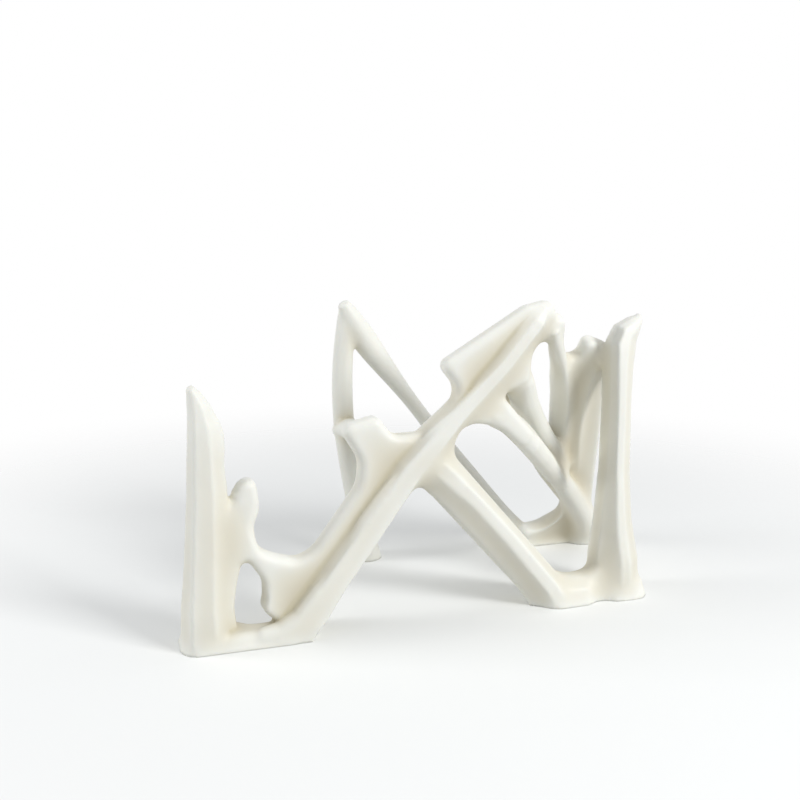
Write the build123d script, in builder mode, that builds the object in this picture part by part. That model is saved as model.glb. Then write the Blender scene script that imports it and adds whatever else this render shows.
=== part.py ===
from build123d import *
import math
import os

# Controller stand, printed in one piece: two webs and a set of bone-like bars on four feet.
# Millimetres. X runs along the front, Y to the back, Z up from the surface it stands on.

# Overall sizes
frontSpan = 165.0          # across the two front feet
standHeight = 106.0        # floor to the upper end of the diagonal beam
rearDepth = 66.0           # front face to the rear right foot
seatDepth = 12.6           # front face to the rear web where it meets the right post

# Webs
webSetback = 4.4           # front web behind the front face
webThickness = 8.0
edgeRound = 2.6
rearWebThickness = 6.6
rearEdgeRound = 2.0

# Bars, across the middle of each
leftPostWidth = 13.0
rightPostWidth = 10.4
postDepth = 12.4
beamWidth = 13.0
beamDepth = 14.6
legWidth = 13.0
legDepth = 15.0
strutWidth = 7.6
rearLegWidth = 7.6
diagonalWidth = 6.6
ribWidth = 3.6

# Feet, front to back
footDepth = 20.0
padHeight = 5.4
leftFootHeight = 5.2
rightFootHeight = 7.0
footSink = 2.0             # what is cut off below the floor
footInset = 2.6            # how far a foot's sides lean in at its top

# The layout is drawn for these sizes and stretched to the overall sizes above
layoutSpan = 165.0
layoutHeight = 106.0
layoutDepth = 66.0
layoutSeat = 88.0          # height at which the rear web meets the right post

spread = frontSpan / layoutSpan
lift = standHeight / layoutHeight
reach = rearDepth / layoutDepth
fit = min(spread, lift)
frontY = webSetback + webThickness / 2
seatHeight = layoutSeat * lift
rearLean = math.atan((rearDepth - seatDepth) / seatHeight)
rimRound = edgeRound * min(fit, 1)
rearRimRound = rearEdgeRound * min(fit, 1)
tipRound = rimRound + 0.4
rearTipRound = rearRimRound + 0.6
originShift = Vector(-9.3 * spread, -40 * reach, 0)


# Lofts one bar through stations of the layout: x, y, z, width, thickness. Two or three more numbers give
# a station facets: where its front face starts and ends across the bar, from -1 to 1, and the depth at
# which its left side turns to the front face, also from -1 to 1
def bar(*stations, across=(1, 0, 0), brow=-0.3):
    points = [Vector(place[0] * spread, place[1], place[2] * lift) for place in stations]
    sections = []
    for i, (_, _, _, width, thickness, *facets) in enumerate(stations):
        along = (points[min(i + 1, len(points) - 1)] - points[max(i - 1, 0)]).normalized()
        side = Vector(*across)
        side = (side - along * side.dot(along)).normalized()
        with BuildSketch(Plane(origin=points[i], x_dir=side, z_dir=along)) as section:
            if facets:
                shoulder = facets[2] if len(facets) > 2 else brow
                corners = [(-1, shoulder), (facets[0], -1), (facets[1], -1), (1, brow), (0.7, 1), (-0.7, 1)]
                with BuildLine():
                    Polyline(*[(u * width / 2, v * thickness / 2) for u, v in corners], close=True)
                make_face()
            else:
                Ellipse(width / 2, thickness / 2)
        sections.append(section.sketch)
    loft(sections, ruled=len(stations[0]) > 5)


# A web's face: a rounded outline less a rounded window, each as corners of x, z, radius
def webFace(plane, rise, outer, inner):
    with BuildSketch(plane) as face:
        for corners, mode in ((outer, Mode.ADD), (inner, Mode.SUBTRACT)):
            places = [(x * spread, z * lift * rise) for x, z, _ in corners]
            with BuildLine():
                FilletPolyline(*places, radius=[radius for _, _, radius in corners], close=True)
            make_face(mode=mode)
    return face.sketch


# Depth of the rear web's middle at height z of the layout
def rearY(z):
    return rearDepth - z * lift * math.tan(rearLean) + rearWebThickness / 2


# A foot that leans in from a rounded outline on the floor, with corners of x, y, radius, and a rounded top
def footPlate(height, outline):
    xs = [x * spread for x, _, _ in outline]
    ys = [y for _, y, _ in outline]
    middle = Vector(max(xs) + min(xs), max(ys) + min(ys)) / 2
    with BuildPart() as foot:
        for level, inset in ((-footSink, 0), (height, footInset)):
            shareX = 1 - 2 * inset / (max(xs) - min(xs))
            shareY = 1 - 2 * inset / (max(ys) - min(ys))
            places = [(middle.X + (x - middle.X) * shareX, middle.Y + (y - middle.Y) * shareY)
                      for x, y in zip(xs, ys)]
            with BuildSketch(Plane.XY.offset(level)):
                with BuildLine():
                    FilletPolyline(*places, radius=[r * fit * shareY for _, _, r in outline], close=True)
                make_face()
        loft(ruled=True)
        fillet(foot.faces().sort_by(Axis.Z)[-1].edges(), rimRound)
    return foot.part


# Front web, clockwise from the left foot: notch, prong, cradle, arm, valley, bracket, beam end, hook, strut
frontOutline = [
    (-78.5, -8, 4 * fit), (-75.5, 30, 8 * fit), (-74.5, 53, tipRound), (-64.3, 46.1, 1.6 * fit),
    (-63.0, 55.3, tipRound), (-56.6, 53.8, tipRound), (-55.6, 46.5, 5 * fit), (-58.8, 39.5, 5 * fit),
    (-54.5, 27.3, 9 * fit), (-40.5, 25.8, 12 * fit), (-23.2, 49.0, 10 * fit), (-22.6, 57.5, 8 * fit),
    (-29.4, 68.5, tipRound), (-16.8, 71.8, tipRound), (-11.5, 64.8, 5.5 * fit), (1.0, 65.2, 9 * fit),
    (11.8, 78.2, 6 * fit), (4.4, 87.2, tipRound), (35.0, 105.4, tipRound), (44.4, 107.4, tipRound),
    (45.8, 101.4, tipRound), (37.6, 92.4, 9 * fit), (36.2, 79.6, tipRound), (26.2, 76.6, 1.4 * fit),
    (33.4, 68.2, 20 * fit), (39.4, 61.6, tipRound), (34.8, 56.8, tipRound), (25.0, 65.6, 14 * fit),
    (13.2, 68.0, 7 * fit), (8.6, 58.0, 7 * fit), (50.0, 10.0, 10 * fit), (65.0, 8.6, 7 * fit),
    (67.0, 34, tipRound), (74.5, 34, tipRound), (78.5, -8, 4 * fit), (48, -8, 4 * fit),
    (-3.6, 50.2, 6 * fit), (-48, -8, 4 * fit),
]
frontWindow = [
    (-61.2, 30.0, 1.6 * fit), (-54.6, 20.0, 6 * fit), (-56.4, 11.5, 3 * fit), (-50.5, 5.6, 0.8 * fit),
    (-65.5, 4.8, 3 * fit), (-63.5, 20.0, 6 * fit),
]

# Rear web: floor, foot corner, lower edge, beam end, scallop, right post, outer edge
rearOutline = [
    (62, -9, 3 * fit), (62, 6.5, rearTipRound), (69.5, 8, 5 * fit), (75, 19.5, 5 * fit),
    (61, 34, 40 * fit),
    (34, 66, 70 * fit), (22, 82, rearTipRound), (40, 101.2, rearTipRound), (49.4, 99.6, rearTipRound),
    (53.2, 84.9, 3.6 * fit), (59.4, 84.5, 2.4 * fit), (60.4, 92.0, rearTipRound), (70.6, 88.0, rearTipRound),
    (83.6, 38, 90 * fit), (88.4, 19, 90 * fit), (99, -9, 4 * fit),
]
rearWindow = [
    (41.2, 93.8, 2.6 * fit), (47.2, 90.4, 5 * fit), (55.0, 69, 14 * fit), (61.6, 46, 1.6 * fit),
    (49.2, 62.5, 12 * fit), (40.4, 79.6, 8 * fit),
]

with BuildPart() as rearWeb:
    # Stands on the rear foot and leans forward to the beam and the right post
    slope = (0, -math.cos(rearLean), -math.sin(rearLean))
    uphill = Plane(origin=(0, rearDepth, 0), x_dir=(1, 0, 0), z_dir=slope)
    extrude(webFace(uphill, 1 / math.cos(rearLean), rearOutline, rearWindow), amount=-rearWebThickness)
    rims = rearWeb.edges().filter_by(lambda edge: abs(edge.tangent_at(0.5).dot(uphill.z_dir)) < 0.5)
    fillet(rims, rearRimRound)

with BuildPart() as body:
    # Front web with its window between the left post and the beam
    extrude(webFace(Plane.XZ.offset(-webSetback), 1, frontOutline, frontWindow), amount=-webThickness)
    fillet(body.edges().filter_by(Axis.Y, reverse=True), rimRound)

    # Left post, from a broad foot to a thin tip at its outer edge
    bar((-72.2, 10, -4, leftPostWidth * 1.46, footDepth * 0.8, -0.7, 0.2),
        (-72.9, 9, 14, leftPostWidth * 1.28, footDepth * 0.87, -0.7, 0.2),
        (-72.5, 8.4, 28.5, leftPostWidth * 1.11, postDepth * 1.22, -0.7, 0.25),
        (-71.8, 8.2, 50, leftPostWidth * 0.98, postDepth * 1.03, -0.7, 0.28),
        (-72.0, 8, 63, leftPostWidth * 0.86, postDepth * 0.89, -0.68, 0.3),
        (-72.4, 7.9, 72, leftPostWidth * 0.73, postDepth * 0.76, -0.66, 0.3),
        (-73.2, 7.8, 77.6, leftPostWidth * 0.58, postDepth * 0.62, -0.6, 0.3),
        (-74.6, 7.6, 81.6, leftPostWidth * 0.38, postDepth * 0.46, -0.5, 0.3),
        (-75.7, 7.4, 84.2, leftPostWidth * 0.18, postDepth * 0.3, -0.4, 0.3))
    # Right post, whose wide left side faces the seat
    bar((73.0, 10, -4, rightPostWidth * 1.9, footDepth * 0.8, -0.1, 0.3),
        (72.6, 9.2, 14, rightPostWidth * 1.6, footDepth * 0.88, -0.2, 0.24),
        (71.6, 8.4, 28, rightPostWidth * 1.16, footDepth * 0.76, -0.45, 0.08),
        (71.2, 7.8, 46, rightPostWidth * 0.88, postDepth * 1.1, -0.72, -0.16),
        (70.9, 7.5, 72, rightPostWidth * 0.82, postDepth * 1.05, -0.82, -0.15),
        (70.9, 7.5, 84, rightPostWidth * 0.88, postDepth * 0.98, -0.82, -0.1),
        (71.3, 7.4, 91, rightPostWidth * 0.96, postDepth * 0.86, -0.8, 0.0),
        (72.7, 7.2, 96, rightPostWidth * 0.8, postDepth * 0.68, -0.7, 0.1),
        (74.7, 7.0, 99.4, rightPostWidth * 0.46, postDepth * 0.46, -0.5, 0.3),
        (76.4, 6.6, 101.8, rightPostWidth * 0.12, postDepth * 0.2, -0.4, 0.4))
    # Diagonal beam, broad below the front leg and a deep narrow blade above it
    bar((-49, 9.8, -6, beamWidth * 1.26, footDepth * 0.8, -0.5, 0.62),
        (-41.6, 9.2, 7, beamWidth * 1.17, footDepth * 0.9, -0.5, 0.62),
        (-31.8, 8.4, 20.5, beamWidth, beamDepth * 1.1, -0.52, 0.6),
        (-18.9, 8, 37.4, beamWidth * 0.92, beamDepth * 1.02, -0.52, 0.6),
        (-6.6, 7.8, 53.4, beamWidth * 0.86, beamDepth, -0.52, 0.5, -0.4),
        (2.6, 7.7, 63.0, beamWidth * 0.68, beamDepth * 0.97, -0.6, 0.45, -0.6),
        (10.0, 7.5, 70.4, beamWidth * 0.52, beamDepth * 0.94, -0.75, 0.3, -0.75),
        (25.9, 7.4, 85.9, beamWidth * 0.48, beamDepth * 0.9, -0.8, 0.3, -0.8),
        (38.2, 7.2, 100.2, beamWidth * 0.48, beamDepth * 0.8, -0.75, 0.3, -0.75),
        (41.2, 7.4, 104.4, beamWidth * 0.28, beamDepth * 0.5, -0.6, 0.4, -0.5))
    # Front leg
    bar((51.4, 10.4, -6, legWidth * 1.1, footDepth * 0.8, 0.0, 0.6),
        (42.6, 9.8, 7.4, legWidth * 1.04, footDepth * 0.95, 0.0, 0.62),
        (26.9, 8.6, 26.8, legWidth * 0.92, legDepth * 1.05, 0.0, 0.62),
        (14.7, 8.2, 40.3, legWidth * 0.93, legDepth * 0.96, 0.0, 0.62),
        (5.6, 8, 49.4, legWidth * 1.04, legDepth * 0.86, -0.1, 0.6),
        (-4, 7.8, 59, legWidth * 0.9, legDepth * 0.7, -0.2, 0.5))
    # Feet
    add(footPlate(leftFootHeight * lift, [
        (-82.6, -0.4, 7), (-35.6, -0.4, 12), (-35.6, footDepth, 6), (-82.6, footDepth, 6)]))
    add(footPlate(rightFootHeight * lift, [
        (40.8, -0.4, 9), (59, 0, 9), (64.6, 3.6, 6), (71, -0.4, 9), (84.6, -0.4, 7),
        (84.6, footDepth, 6), (40.8, footDepth, 7)]))

    # Flank that carries the beam back to the rear web
    bar((12, 10, 68, legWidth * 0.6, webThickness), (24, 12.4, 79.5, legWidth * 0.86, beamDepth * 0.92),
        (36, 11, 93.4, legWidth * 0.72, beamDepth * 0.8), (42, 9, 101, legWidth * 0.36, webThickness * 0.7))
    add(rearWeb.part)

    # Long strut from the beam to the rear right foot
    bar((19, 8.6, 73, strutWidth * 0.8, webThickness * 0.8),
        (29, 8.8, 66.8, strutWidth * 1.06, webThickness * 0.95),
        (35.6, 11, 62, strutWidth * 1.04, strutWidth),
        (43.3, 15.5, 54.8, strutWidth * 0.94, strutWidth),
        (53.4, 26, 46.1, strutWidth * 0.92, strutWidth),
        (63.6, 37, 37, strutWidth, strutWidth),
        (72.8, 46, 28.3, strutWidth * 1.1, strutWidth * 1.1),
        (81.5, 54, 19, strutWidth * 1.3, strutWidth * 1.4),
        (88.5, rearDepth - 5, 9, strutWidth * 1.7, footDepth * 0.6),
        (90, rearDepth + 1, -3, strutWidth * 2.1, footDepth * 0.7), across=(0.7, -0.2, 0.7))
    # Strut along the lower left of the rear window
    bar((27, frontY, 88, strutWidth, webThickness * 0.8),
        (33, frontY + 3.4, 79, strutWidth, webThickness),
        (38.6, 18.4, 71.4, strutWidth * 0.9, rearWebThickness),
        (45, rearY(62), 62, strutWidth * 0.85, rearWebThickness),
        (52.6, rearY(52) - 1, 52, strutWidth * 0.95, rearWebThickness),
        (68, rearY(38), 38, strutWidth * 1.2, rearWebThickness), across=(0.7, -0.2, 0.7))
    # Ribs that stand proud of the rear web
    bar((45, frontY, 98, ribWidth * 1.4, ribWidth * 2),
        (53.2, rearY(84) - 1.5, 84, ribWidth * 1.3, ribWidth * 2),
        (59, rearY(71) - 1.5, 71, ribWidth * 1.3, ribWidth * 2),
        (62.4, rearY(58) - 1.5, 58, ribWidth * 1.5, ribWidth * 2),
        (66, rearY(42), 42, ribWidth * 2, ribWidth * 2))
    bar((66, rearY(87) - 2, 87, ribWidth, ribWidth * 1.4),
        (66, rearY(75) - 2.6, 75, ribWidth, ribWidth * 1.4),
        (67.4, rearY(64) - 2.6, 64, ribWidth, ribWidth * 1.4),
        (71, rearY(50) - 2.2, 50, ribWidth, ribWidth * 1.4),
        (77, rearY(34), 34, ribWidth * 1.2, ribWidth * 1.4))
    # Short branch from the rear web to the right post
    bar((63.4, rearY(86), 86, strutWidth * 0.6, strutWidth * 0.7),
        (67.4, rearY(87), 86.4, strutWidth * 0.8, strutWidth * 0.9),
        (71, frontY, 85, strutWidth, strutWidth), across=(0, 0, 1))
    # Bar along the floor to the rear right foot
    add(footPlate(padHeight * lift, [
        (58, rearDepth - 3, 3), (98, rearDepth - 3, 6), (98, rearDepth + 11, 4), (58, rearDepth + 11, 4)]))
    # Rear diagonal, from the floor bar up to the rear crest
    bar((72, rearDepth + 6, -3, diagonalWidth * 1.8, diagonalWidth * 1.8),
        (62, rearDepth + 6, 7, diagonalWidth * 1.1, diagonalWidth * 1.25),
        (30, rearDepth + 2, 44, diagonalWidth, diagonalWidth * 1.2),
        (8, rearDepth - 2, 72, diagonalWidth, diagonalWidth * 1.2),
        (-10, rearDepth - 6, 96, diagonalWidth * 1.3, diagonalWidth * 1.3),
        (-14, rearDepth - 8, 103, diagonalWidth * 0.6, diagonalWidth * 0.6))
    # Rear left leg
    bar((-2, rearDepth + 8, -3, rearLegWidth * 2, rearLegWidth * 1.9),
        (-4, rearDepth + 6, 12, rearLegWidth * 1.25, rearLegWidth * 1.3),
        (-11, rearDepth, 46, rearLegWidth, rearLegWidth),
        (-13.6, rearDepth - 4, 76, rearLegWidth, rearLegWidth),
        (-12, rearDepth - 6, 99, rearLegWidth * 0.9, rearLegWidth * 0.9))
    # Link under the seat, from the beam to the rear left leg
    bar((-12, frontY - 2, 54, rearLegWidth * 1.6, rearLegWidth * 1.3),
        (-13, 22, 57.5, rearLegWidth, rearLegWidth),
        (-13, rearDepth - 20, 58, rearLegWidth * 0.95, rearLegWidth * 0.95),
        (-11, rearDepth + 2, 54, rearLegWidth * 1.4, rearLegWidth))

    # Soles cut flat on the floor
    split(bisect_by=Plane.XY, keep=Keep.TOP)

with BuildPart() as stand:
    # Origin under the middle of the stand
    add(body.part.moved(Location(originShift)))

stand.part.label = "stand"
print("solids", len(stand.part.solids()), "valid", stand.part.is_valid, "volume", round(stand.part.volume))
os.makedirs("parts", exist_ok=True)
export_step(stand.part, "parts/stand.step")
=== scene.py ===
import bpy, bmesh, math
import numpy as np
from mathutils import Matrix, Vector


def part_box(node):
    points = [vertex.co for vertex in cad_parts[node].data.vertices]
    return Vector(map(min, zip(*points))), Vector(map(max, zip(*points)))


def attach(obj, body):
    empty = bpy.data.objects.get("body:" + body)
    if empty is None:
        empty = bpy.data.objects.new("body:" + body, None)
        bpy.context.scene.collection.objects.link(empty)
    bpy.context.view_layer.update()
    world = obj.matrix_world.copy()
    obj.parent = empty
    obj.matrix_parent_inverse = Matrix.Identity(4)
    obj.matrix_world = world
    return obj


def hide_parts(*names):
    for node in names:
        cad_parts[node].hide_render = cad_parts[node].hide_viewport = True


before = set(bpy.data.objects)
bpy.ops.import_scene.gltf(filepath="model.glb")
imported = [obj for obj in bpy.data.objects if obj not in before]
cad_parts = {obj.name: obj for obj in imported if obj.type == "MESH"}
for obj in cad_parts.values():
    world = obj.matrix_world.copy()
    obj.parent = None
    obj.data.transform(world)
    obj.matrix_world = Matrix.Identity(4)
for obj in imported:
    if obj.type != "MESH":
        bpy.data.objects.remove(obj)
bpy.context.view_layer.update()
scene = bpy.context.scene
scene.view_settings.view_transform = "Standard"
print("frame loaded:", ", ".join(sorted(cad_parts)))

# The camera stands in front of the stand, to its left and a little above it
cameraPlace = {
    "location": (-0.1193, -0.3440, 0.1400),
    "tilt": 79.0, "turn": -18.0,  # degrees
    "lens": 46.44, "filmWidth": 36.0,  # millimetres
    "nearest": 0.01,
}


def placeCamera(place):
    lensData = bpy.data.cameras.new("photoCamera")
    lensData.sensor_width = place["filmWidth"]
    lensData.lens = place["lens"]
    lensData.clip_start = place["nearest"]
    camera = bpy.data.objects.new("photoCamera", lensData)
    camera.location = place["location"]
    camera.rotation_euler = (math.radians(place["tilt"]), 0, math.radians(place["turn"]))
    scene.collection.objects.link(camera)
    scene.camera = camera


placeCamera(cameraPlace)
print("camera placed")


def addNode(tree, kind, inputs=None, **settings):
    node = tree.nodes.new(kind)
    for name, value in settings.items():
        setattr(node, name, value)
    for name, value in (inputs or {}).items():
        node.inputs[name].default_value = value
    return node


def addRange(tree, source, start, end):
    # Maps the source so that start becomes 0 and end becomes 1
    node = addNode(tree, "ShaderNodeMapRange", {"From Min": start, "From Max": end})
    join(tree, (source, node.inputs["Value"]))
    return node.outputs["Result"]


def addSpread(tree, source, low, high):
    # Maps the source, from 0 to 1, to the values between low and high
    node = addNode(tree, "ShaderNodeMapRange", {"To Min": low, "To Max": high})
    join(tree, (source, node.inputs["Value"]))
    return node.outputs["Result"]


def join(tree, *pairs):
    for start, end in pairs:
        tree.links.new(start, end)


def newMaterial(name):
    material = bpy.data.materials.new(name)
    material.use_nodes = True
    tree = material.node_tree
    tree.nodes.clear()
    return material, tree


# Skin of the stand: the printed part flows from bar to web, and only a few creases stay crisp
skinShape = {
    "grainDepth": 8,          # the remesh has 2 to this power of cells along its longest side
    "grainFit": 0.92,         # the share of those cells that the stand takes up
    "smallestIsland": 100,    # islands of fewer faces than this are dropped
    "blendPasses": 190,       # how far the hollows between bars and webs fill
    "hollowPull": 0.50,       # how fast hollows fill and ridges wear down, from 0 to 1
    "ridgePull": 0.002,
    "slidePull": 0.3,         # how fast the points even out along the skin
    "rearPull": 0.16,         # the rear web's slim ribs and slots fill less
    "rearFrom": (-0.026, -0.019),  # y over which the front gives way to the rear
    "creasePull": 0.02,       # the webs to the beam's left meet it in a crisp line
    "creaseFrom": (-0.0411, 0.0205), "creaseTo": (0.0166, 0.0859),  # x and z along the middle of the beam
    "creaseBand": (0.002, 0.004, 0.016, 0.022),  # where the crisp band fades in and out, left of that line
    "creasePasses": 10,       # how widely tight creases and broad recesses are felt for colour
    "recessPasses": 160,
    "feelPull": 0.6,
    "inset": 0.00002,         # how far the skin stays inside the box of the solid
    "soleHeight": 0.0004,     # everything lower than this lies flat on the floor
    "soleLift": 0.000001,

    # Runs laid under the skin, each through places x, y, z and half a width, in millimetres
    "runSides": 12,
    "runs": {
        "windowStrut": [
            (21, -31.6, 92, 1.5), (24, -31.4, 86, 3.2), (26.6, -30.6, 79.5, 3.6), (30.0, -26.6, 72, 3.7),
            (36.0, -20, 64, 3.7), (42.6, -13, 56.4, 3.8), (50.0, -6, 48, 4.2), (58, 1, 40, 3.0)],
        "longStrutRoot": [
            (13, -31.6, 72, 1.5), (19, -31.8, 67, 3.4), (24.4, -31.8, 62.6, 3.9), (29.6, -30.4, 57.6, 4.0),
            (35, -26.4, 52.4, 3.9), (40.8, -20.4, 47.2, 3.7), (47, -13.4, 41.4, 3.4), (55, -5, 34.6, 2.6)],
        "beamEdge": [
            (-70, -36.4, 2.2, 1.6), (-65.4, -36.6, 3.2, 2.8), (-59.6, -36.7, 4.3, 3.1),
            (-53.4, -36.8, 8.2, 3.2), (-46.8, -36.8, 16.2, 3.2), (-39.6, -36.7, 23.6, 3.2),
            (-30.6, -36.5, 37.7, 3.1), (-21.2, -36.2, 49.8, 2.9), (-12.6, -35.4, 60.2, 2.0)],
    },

    # Soft moves of the finished skin: place, shift, and reach in x, y and z, in millimetres
    "moves": [
        {"at": (62, 20, 18), "shift": (3.0, 0, -3.0), "reach": (9, 9, 9)},      # window behind the front leg
        {"at": (59, 21, 14), "shift": (1.0, 0, -3.0), "reach": (8, 8, 8)},
        {"at": (38.6, -22, 80), "shift": (1.2, 0, 0), "reach": (9, 9, 9)},      # right side of the rear window
        {"at": (-62, -23, 5.4), "shift": (0, 0, -3.8), "reach": (16, 9, 5)},    # back of the left foot
        {"at": (-60, -32, 28), "shift": (0, 0, 1.6), "reach": (9, 8, 6)},       # bottom of the cradle
        {"at": (-71, -32, 53.5), "shift": (1.6, 0, -0.9), "reach": (5, 8, 5)},  # left side of the prong
        {"at": (-66, -32, 41), "shift": (1.5, 0, 0), "reach": (5, 8, 7)},       # below the prong
        {"at": (-66, -33, 14), "shift": (1.3, 0, 0), "reach": (5, 8, 6)},       # right side of the left window
        {"at": (-45.6, -38, 0), "shift": (-1.5, 0, 0), "reach": (6, 10, 7)},    # right end of the left foot
        {"at": (-77, -32, 69), "shift": (1.3, 0, 0), "reach": (6, 9, 11)},      # shoulder of the left post
        {"at": (66, -33, 99.5), "shift": (1.6, 0, -0.8), "reach": (7, 9, 8)},   # tip of the right post
    ],
}


def addRun(mesh, places, sides):
    # A closed tube through the places, as wide at each as it says
    points = [Vector(place[:3]) / 1000 for place in places]
    halves = [place[3] / 1000 for place in places]
    turns = [math.tau * k / sides for k in range(sides)]
    rings = []
    for i, point in enumerate(points):
        along = (points[min(i + 1, len(points) - 1)] - points[max(i - 1, 0)]).normalized()
        across = along.cross(Vector((0, 1, 0))).normalized()
        up = across.cross(along)
        rings.append([mesh.verts.new(point + halves[i] * (math.cos(turn) * across + math.sin(turn) * up))
                      for turn in turns])
    for first, second in zip(rings, rings[1:]):
        for k in range(sides):
            mesh.faces.new((first[k], first[k - 1], second[k - 1], second[k]))
    mesh.faces.new(rings[0])
    mesh.faces.new(reversed(rings[-1]))


def makeRuns(runs, sides):
    mesh = bmesh.new()
    for places in runs.values():
        addRun(mesh, places, sides)
    bmesh.ops.recalc_face_normals(mesh, faces=mesh.faces)
    data = bpy.data.meshes.new("runs")
    mesh.to_mesh(data)
    mesh.free()
    piece = bpy.data.objects.new("runs", data)
    scene.collection.objects.link(piece)
    return piece


def dropCrumbs(mesh, smallest):
    # The remesh leaves a few tiny cubes that only touch the skin along an edge
    work = bmesh.new()
    work.from_mesh(mesh)
    seen, crumbs = set(), []
    for face in work.faces:
        if face.index in seen:
            continue
        island = [face]
        seen.add(face.index)
        for part in island:  # the list grows while it is walked through
            for edge in part.edges:
                if len(edge.link_faces) != 2:
                    continue
                for other in edge.link_faces:
                    if other.index not in seen:
                        seen.add(other.index)
                        island.append(other)
        if len(island) < smallest:
            crumbs += island
    bmesh.ops.delete(work, geom=crumbs, context="FACES")
    work.to_mesh(mesh)
    work.free()


def roughSkin(source, shape):
    # The solid and the runs as one even mesh of small four-sided faces
    rough = bpy.data.objects.new("standRough", source.data.copy())
    scene.collection.objects.link(rough)
    extra = makeRuns(shape["runs"], shape["runSides"])
    union = rough.modifiers.new("union", "BOOLEAN")
    union.operation = "UNION"
    union.solver = "EXACT"
    union.object = extra
    cells = rough.modifiers.new("cells", "REMESH")
    cells.mode = "SHARP"
    cells.octree_depth = shape["grainDepth"]
    cells.scale = shape["grainFit"]
    cells.use_remove_disconnected = True
    graph = bpy.context.evaluated_depsgraph_get()
    mesh = bpy.data.meshes.new_from_object(rough.evaluated_get(graph))
    bpy.data.objects.remove(rough)
    bpy.data.objects.remove(extra)
    dropCrumbs(mesh, shape["smallestIsland"])
    return mesh


def meshArrays(mesh):
    points = np.empty(len(mesh.vertices) * 3)
    mesh.vertices.foreach_get("co", points)
    pairs = np.empty(len(mesh.edges) * 2, np.int64)
    mesh.edges.foreach_get("vertices", pairs)
    corners = np.empty(len(mesh.polygons) * 4, np.int64)
    mesh.polygons.foreach_get("vertices", corners)
    return points.reshape(-1, 3), pairs.reshape(-1, 2), corners.reshape(-1, 4)


def gather(targets, values, count):
    return np.stack([np.bincount(targets, values[:, k], count) for k in range(3)], 1)


def pointNormals(points, corners):
    across = points[corners[:, 2]] - points[corners[:, 0]]
    along = points[corners[:, 3]] - points[corners[:, 1]]
    faceNormals = np.cross(across, along)
    total = sum(gather(corners[:, k], faceNormals, len(points)) for k in range(4))
    return total / np.maximum(np.linalg.norm(total, axis=1, keepdims=True), 1e-12)  # never divides by nothing


def neighbourCount(points, pairs):
    return np.bincount(pairs.ravel(), minlength=len(points)).astype(float)


def neighbourMean(values, pairs, counts):
    ends = np.concatenate([pairs[:, 0], pairs[:, 1]])
    others = np.concatenate([pairs[:, 1], pairs[:, 0]])
    return gather(ends, values[others], len(values)) / counts[:, None]


def fillShare(points, shape):
    # How fast a hollow fills: fully in front, slowly in the rear web and along the beam's left side
    start, end = np.array(shape["creaseFrom"]), np.array(shape["creaseTo"])
    along = (end - start) / np.linalg.norm(end - start)
    left = (points[:, 0] - start[0]) * -along[1] + (points[:, 2] - start[1]) * along[0]
    crease = np.interp(left, shape["creaseBand"], (0, 1, 1, 0))
    rear = np.interp(points[:, 1], shape["rearFrom"], (0, 1))
    fill = shape["hollowPull"] * (1 - rear) + shape["rearPull"] * rear
    return fill * (1 - crease) + shape["creasePull"] * crease


def flowSkin(points, pairs, corners, shape):
    # Each pass lifts the hollows towards their neighbours' mean and leaves the ridges nearly alone
    counts = neighbourCount(points, pairs)
    fill = fillShare(points, shape)
    for _ in range(shape["blendPasses"]):
        normals = pointNormals(points, corners)
        pull = neighbourMean(points, pairs, counts) - points
        outward = (pull * normals).sum(1)
        gain = np.where(outward > 0, fill, shape["ridgePull"])
        slide = pull - outward[:, None] * normals
        points = points + (gain * outward)[:, None] * normals + shape["slidePull"] * slide
    return points


def softMove(points, moves):
    for move in moves:
        away = np.linalg.norm((points * 1000 - np.array(move["at"])) / np.array(move["reach"]), axis=1)
        share = np.clip(1 - away ** 2, 0, 1) ** 2
        points = points + share[:, None] * np.array(move["shift"]) / 1000
    return points


def depthBelow(points, pairs, corners, passes, pull):
    # How far each point lies below the same skin smoothed out, in metres
    counts = neighbourCount(points, pairs)
    smooth = points
    for _ in range(passes):
        smooth = (1 - pull) * smooth + pull * neighbourMean(smooth, pairs, counts)
    return ((smooth - points) * pointNormals(points, corners)).sum(1)


def buildSkin(source, shape):
    mesh = roughSkin(source, shape)
    points, pairs, corners = meshArrays(mesh)
    points = softMove(flowSkin(points, pairs, corners, shape), shape["moves"])
    low, high = (np.array(corner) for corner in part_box("stand"))
    points = np.clip(points, low + shape["inset"], high - shape["inset"])
    points[points[:, 2] < shape["soleHeight"], 2] = low[2] + shape["soleLift"]
    mesh.vertices.foreach_set("co", points.ravel())
    # These depths decide where the ivory gets painted shade in creases and hollows and painted light on the
    # ridges
    for name in ("crease", "recess"):
        depth = depthBelow(points, pairs, corners, shape[name + "Passes"], shape["feelPull"])
        attribute = mesh.attributes.new(name, "FLOAT", "POINT")
        attribute.data.foreach_set("value", depth * 1000)  # millimetres
    mesh.shade_smooth()
    mesh.update()
    mesh.materials.clear()
    piece = bpy.data.objects.new("standSkin", mesh)
    scene.collection.objects.link(piece)
    return piece
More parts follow.
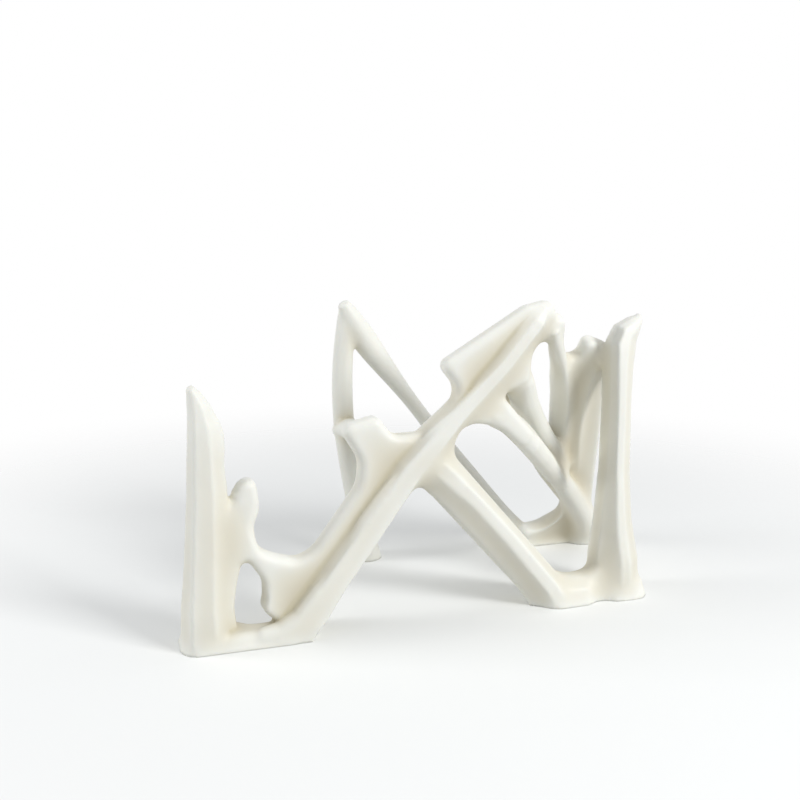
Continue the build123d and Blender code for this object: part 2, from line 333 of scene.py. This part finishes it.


# Ivory plastic: satin and warm, with painted shade a little deeper in the hollows and painted light paler
# along the ridges
ivoryLook = {
    # Painted light and shade: the ridge colour is paler where the bars would catch the light, and the hollow
    # colour is painted shade on the recessed webs; the body colour is the plastic's own tone
    "ridgePaintedLight": (0.878, 0.878, 0.822, 1), "body": (0.800, 0.775, 0.675, 1), "hollowPaintedShade": (0.670, 0.620, 0.490, 1),
    "bodyPlace": 0.45,  # where the body colour lies on the way from ridge to hollow
    "recessDepth": (-1.8, 1.0),  # millimetres below the smoothed-out skin, from ridge to hollow
    # Painted shade: an olive-brown darkening laid into the tight creases, where shade falls
    "crease": (0.560, 0.510, 0.340, 1), "creaseShadeDepth": (0.10, 0.55),
    "mottleScale": 60.0, "mottleTone": (0.955, 1.03),
    "pitColour": (0.42, 0.38, 0.28, 1), "pitScale": 42.0, "pitEdge": (0.007, 0.013),
    "pitDepth": 0.0002, "pitStrength": 0.6,
    "roughness": (0.42, 0.55), "roughnessScale": 180.0,
    "grainScale": 2600.0, "grainDepth": 0.00002, "grainStrength": 0.25,
    "layerHeight": 0.0002, "layerDepth": 0.000006, "layerStrength": 0.3, "layerWaver": 0.6,
    "bandLength": 0.314,  # from band to band of the wave texture at scale 1, in metres
    "plastic": {"IOR": 1.46, "Subsurface Weight": 0.08, "Subsurface Radius": (0.9, 0.7, 0.45),
                "Subsurface Scale": 0.0015},
}


def ivoryColourWithPaintedShade(tree, place, look):
    # Colour by how deep the place lies in the skin: painted light paler on the ridges and painted shade deeper
    # in the hollows and creases, with a faint mottle over it
    # The recess depth picks painted light on the ridges and painted shade in the hollows
    recess = addNode(tree, "ShaderNodeAttribute", attribute_name="recess")
    shade = addNode(tree, "ShaderNodeValToRGB")
    ramp = shade.color_ramp.elements
    ramp[0].position, ramp[0].color = 0.0, look["ridgePaintedLight"]
    ramp[1].position, ramp[1].color = 1.0, look["hollowPaintedShade"]
    ramp.new(look["bodyPlace"]).color = look["body"]
    join(tree, (addRange(tree, recess.outputs["Fac"], *look["recessDepth"]), shade.inputs["Fac"]))

    # Painted shade: the crease colour darkens the tight creases
    crease = addNode(tree, "ShaderNodeAttribute", attribute_name="crease")
    creasePaintedShade = addNode(tree, "ShaderNodeMix", {"B": look["crease"]}, data_type="RGBA")
    join(tree, (addRange(tree, crease.outputs["Fac"], *look["creaseShadeDepth"]), creasePaintedShade.inputs["Factor"]),
         (shade.outputs["Color"], creasePaintedShade.inputs["A"]))

    mottle = addNode(tree, "ShaderNodeTexNoise",
                     {"Scale": look["mottleScale"], "Detail": 4.0, "Roughness": 0.55})
    tint = addNode(tree, "ShaderNodeMix", {"Factor": 1.0}, data_type="RGBA", blend_type="MULTIPLY")
    join(tree, (place, mottle.inputs["Vector"]), (creasePaintedShade.outputs["Result"], tint.inputs["A"]),
         (addSpread(tree, mottle.outputs["Fac"], *look["mottleTone"]), tint.inputs["B"]))
    return tint.outputs["Result"]


def printPits(tree, place, look):
    # 0 in the few tiny pits left by the print, and 1 outside them
    pits = addNode(tree, "ShaderNodeTexVoronoi", {"Scale": look["pitScale"]})
    join(tree, (place, pits.inputs["Vector"]))
    return addRange(tree, pits.outputs["Distance"], *look["pitEdge"])


def ivoryRelief(tree, place, pitMask, look):
    # Fine grain, faint layers of the print, and the pits
    grain = addNode(tree, "ShaderNodeTexNoise", {"Scale": look["grainScale"], "Detail": 2.0})
    layers = addNode(tree, "ShaderNodeTexWave",
                     {"Scale": look["bandLength"] / look["layerHeight"], "Distortion": look["layerWaver"]},
                     wave_type="BANDS", bands_direction="Z")
    join(tree, (place, grain.inputs["Vector"]), (place, layers.inputs["Vector"]))
    normal = None
    for kind, height in (("grain", grain.outputs["Fac"]), ("layer", layers.outputs["Fac"]), ("pit", pitMask)):
        bump = addNode(tree, "ShaderNodeBump",
                       {"Strength": look[kind + "Strength"], "Distance": look[kind + "Depth"]})
        join(tree, (height, bump.inputs["Height"]))
        if normal:
            join(tree, (normal, bump.inputs["Normal"]))
        normal = bump.outputs["Normal"]
    return normal


def ivoryPlastic(look):
    material, tree = newMaterial("ivoryPlastic")
    surface = addNode(tree, "ShaderNodeBsdfPrincipled", look["plastic"])
    place = addNode(tree, "ShaderNodeTexCoord").outputs["Object"]
    pitMask = printPits(tree, place, look)
    pitColour = addNode(tree, "ShaderNodeMix", {"A": look["pitColour"]}, data_type="RGBA")
    gloss = addNode(tree, "ShaderNodeTexNoise", {"Scale": look["roughnessScale"], "Detail": 3.0})
    out = addNode(tree, "ShaderNodeOutputMaterial")
    join(tree, (pitMask, pitColour.inputs["Factor"]),
         (ivoryColourWithPaintedShade(tree, place, look), pitColour.inputs["B"]),
         (pitColour.outputs["Result"], surface.inputs["Base Color"]),
         (place, gloss.inputs["Vector"]),
         (addSpread(tree, gloss.outputs["Fac"], *look["roughness"]), surface.inputs["Roughness"]),
         (ivoryRelief(tree, place, pitMask, look), surface.inputs["Normal"]),
         (surface.outputs["BSDF"], out.inputs["Surface"]))
    return material


ivory = ivoryPlastic(ivoryLook)
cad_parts["stand"].data.materials.clear()
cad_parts["stand"].data.materials.append(ivory)
print("ivory plastic mixed")

skin = buildSkin(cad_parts["stand"], skinShape)
skin.data.materials.append(ivory)
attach(skin, "root")
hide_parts("stand")
print("skin made:", len(skin.data.polygons), "faces")


# Studio: a pale floor that fades into white, with soft lamps at the right, above and at the left
studio = {
    "floorColour": (0.95, 0.96, 0.955, 1),
    "floorBounce": (0.72, 0.72, 0.70, 1),  # the floor throws back less light than it shows
    "floorSide": 5.0, "floorFade": (0.08, 0.36),
    "fillColour": (0.96, 0.98, 1.0, 1), "fillLight": 0.40,
    "aim": (0, 0, 0.05),
    "lamps": {
        "keyLamp": {"location": (0.45, -0.68, 0.50), "size": 0.32, "power": 5.4},
        "topLamp": {"location": (0.05, -0.05, 0.75), "size": 0.45, "power": 0.8},
        "sideLamp": {"location": (-0.60, 0.10, 0.22), "size": 0.20, "power": 1.4},
    },
}


def whiteToEye(tree, seen, lit):
    # White where the camera, a gloss or a clear surface looks at it, and lit elsewhere
    rays = addNode(tree, "ShaderNodeLightPath")
    glossToo = addNode(tree, "ShaderNodeMath", operation="MAXIMUM")
    clearToo = addNode(tree, "ShaderNodeMath", operation="MAXIMUM")
    pick = addNode(tree, "ShaderNodeMixShader")
    join(tree, (rays.outputs["Is Camera Ray"], glossToo.inputs[0]),
         (rays.outputs["Is Glossy Ray"], glossToo.inputs[1]),
         (glossToo.outputs[0], clearToo.inputs[0]),
         (rays.outputs["Is Transmission Ray"], clearToo.inputs[1]),
         (clearToo.outputs[0], pick.inputs["Fac"]), (lit, pick.inputs[1]), (seen, pick.inputs[2]))
    return pick.outputs[0]


def makeWorld(plan):
    world = bpy.data.worlds.new("studioWorld")
    scene.world = world
    world.use_nodes = True
    tree = world.node_tree
    tree.nodes.clear()
    white = addNode(tree, "ShaderNodeBackground", {"Color": (1, 1, 1, 1), "Strength": 1.0})
    soft = addNode(tree, "ShaderNodeBackground", {"Color": plan["fillColour"], "Strength": plan["fillLight"]})
    out = addNode(tree, "ShaderNodeOutputWorld")
    join(tree, (whiteToEye(tree, white.outputs[0], soft.outputs[0]), out.inputs["Surface"]))


def paleFloor(plan):
    # Matte near the stand, and clear farther out, where the white of the world shows
    material, tree = newMaterial("paleFloor")
    matte = addNode(tree, "ShaderNodeBsdfDiffuse")
    rays = addNode(tree, "ShaderNodeLightPath")
    tone = addNode(tree, "ShaderNodeMix", {"A": plan["floorBounce"], "B": plan["floorColour"]},
                   data_type="RGBA")
    clear = addNode(tree, "ShaderNodeBsdfTransparent")
    place = addNode(tree, "ShaderNodeTexCoord")
    distance = addNode(tree, "ShaderNodeVectorMath", operation="LENGTH")
    nearest, farthest = plan["floorFade"]
    fade = addNode(tree, "ShaderNodeMapRange", {"From Min": nearest, "From Max": farthest},
                   interpolation_type="SMOOTHSTEP")
    blend = addNode(tree, "ShaderNodeMixShader")
    out = addNode(tree, "ShaderNodeOutputMaterial")
    join(tree, (rays.outputs["Is Camera Ray"], tone.inputs["Factor"]),
         (tone.outputs["Result"], matte.inputs["Color"]),
         (place.outputs["Object"], distance.inputs[0]), (distance.outputs["Value"], fade.inputs["Value"]),
         (fade.outputs["Result"], blend.inputs["Fac"]), (matte.outputs[0], blend.inputs[1]),
         (clear.outputs[0], blend.inputs[2]), (blend.outputs[0], out.inputs["Surface"]))
    return material


def makeFloor(plan):
    half = plan["floorSide"] / 2
    sheet = bpy.data.meshes.new("floor")
    corners = [(-half, -half, 0), (half, -half, 0), (half, half, 0), (-half, half, 0)]
    sheet.from_pydata(corners, [], [(0, 1, 2, 3)])
    sheet.materials.append(paleFloor(plan))
    floor = bpy.data.objects.new("floor", sheet)
    scene.collection.objects.link(floor)


def hangLamp(name, lamp, aim):
    data = bpy.data.lights.new(name, "AREA")
    data.size = lamp["size"]
    data.energy = lamp["power"]
    light = bpy.data.objects.new(name, data)
    light.location = lamp["location"]
    light.rotation_euler = (Vector(aim) - light.location).to_track_quat("-Z", "Y").to_euler()
    scene.collection.objects.link(light)


makeWorld(studio)
makeFloor(studio)
for lampName, lamp in studio["lamps"].items():
    hangLamp(lampName, lamp, studio["aim"])
print("studio made")
